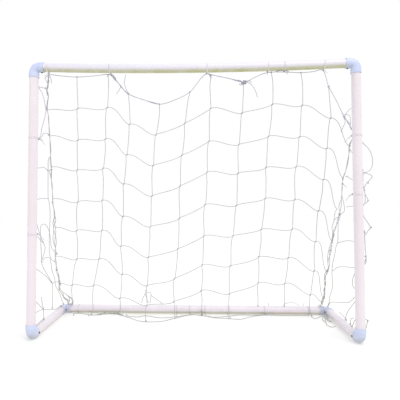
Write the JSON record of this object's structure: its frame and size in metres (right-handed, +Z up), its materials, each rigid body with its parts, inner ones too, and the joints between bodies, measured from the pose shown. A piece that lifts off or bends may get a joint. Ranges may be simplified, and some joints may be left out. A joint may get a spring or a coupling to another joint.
{
  "type": "soccer goal frame",
  "caption": "Small free-standing soccer goal: plastic pipe frame joined by socket elbows, open mouth at the front, string net sloping from the crossbar down to a rear ground bar.",
  "frame": {"origin": "centre of the footprint on the ground, under the middle of the goal", "axes": "+X along the crossbar to the right as seen from in front of the mouth, +Y from the mouth to the rear ground bar, +Z up"},
  "size_m": [1.2178, 0.3978, 1.0218],
  "materials": {
    "pipe": "very pale pinkish white extruded plastic pipe with a soft gloss and light scuffs",
    "elbow": "pale blue-white moulded plastic, smooth with a fine parting line",
    "screw": "blackened steel self-tapping screw",
    "net": "twisted white string, knotted in square meshes, a little greyed",
    "lacing": "white twisted cord, doubled and knotted, a little greyed"
  },
  "bodies": {
    "root": {"crossbar": "pipe", "left_post": "pipe", "right_post": "pipe", "left_side_rail": "pipe", "right_side_rail": "pipe", "rear_ground_bar": "pipe", "top_left_elbow": "elbow", "top_right_elbow": "elbow", "front_left_foot_elbow": "elbow", "front_right_foot_elbow": "elbow", "rear_left_elbow": "elbow", "rear_right_elbow": "elbow", "top_elbow_screws": "screw", "foot_elbow_screws": "screw", "rear_elbow_screws": "screw", "net_back_panel": "net", "net_left_panel": "net", "net_right_panel": "net", "head_cord": "lacing", "foot_cord": "lacing", "left_corner_cord": "lacing", "right_corner_cord": "lacing", "crossbar_ties": "lacing", "left_post_ties": "lacing", "right_post_ties": "lacing", "rear_bar_ties": "lacing"}
  },
  "joints": []
}
